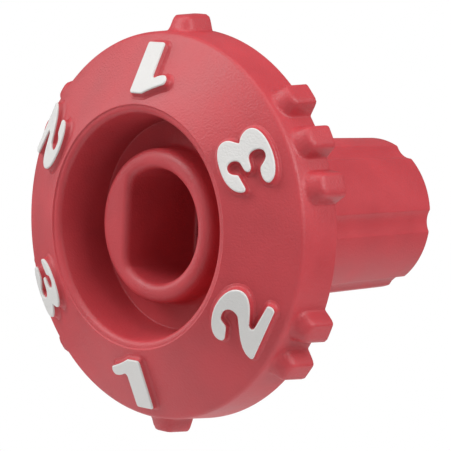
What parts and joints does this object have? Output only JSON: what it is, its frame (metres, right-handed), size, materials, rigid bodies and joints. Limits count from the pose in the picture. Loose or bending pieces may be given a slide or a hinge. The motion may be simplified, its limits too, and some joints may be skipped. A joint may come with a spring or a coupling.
{
  "type": "drip emitter",
  "caption": "Drip emitter with a turning flow-selector dial: numbered conical wheel with tactile rim ribs, D-shaped outlet bore and a fluted plug-in hub.",
  "frame": {"origin": "centre of the hub's rear end, on the turning axis, where the emitter plugs in", "axes": "+Y along the turning axis out of the hub's rear end; -Y out of the dial's numbered face; +Z towards the digit 1 at the top of the dial; +X right as seen from the front"},
  "size_m": [0.0376, 0.0332, 0.0388],
  "materials": {
    "red_plastic": "satin moulded red plastic, fine grain",
    "white_plastic": "satin white second-shot plastic",
    "seal_rubber": "matt black nitrile rubber",
    "silicone": "translucent silicone, matt",
    "natural_acetal": "natural acetal, smooth",
    "dark_plastic": "black polypropylene, satin",
    "spring_steel": "stainless spring steel"
  },
  "bodies": {
    "hub": {"hub_sleeve": "red_plastic", "thrust_washer": "natural_acetal", "port_gasket": "silicone", "orifice_plate": "dark_plastic", "regulator_cup": "dark_plastic", "diaphragm": "silicone", "labyrinth_disc": "dark_plastic", "filter_screen": "spring_steel", "filter_frame": "dark_plastic", "inlet_cap": "dark_plastic", "cap_o_ring": "seal_rubber"},
    "dial": {"dial_wheel": "red_plastic", "numeral_1_top": "white_plastic", "numeral_3_upper_right": "white_plastic", "numeral_2_lower_right": "white_plastic", "numeral_1_bottom": "white_plastic", "numeral_3_lower_left": "white_plastic", "numeral_2_upper_left": "white_plastic", "stem_o_ring": "seal_rubber", "retaining_clip": "spring_steel", "selector_disc": "natural_acetal", "detent_spring": "spring_steel"}
  },
  "joints": [
    {"name": "dial_turn", "type": "hinge", "parent": "hub", "child": "dial", "pos_m": [0, -0.0299, 0], "axis": [0, 1, 0], "continuous": true, "deforming": ["detent_spring"]}
  ]
}
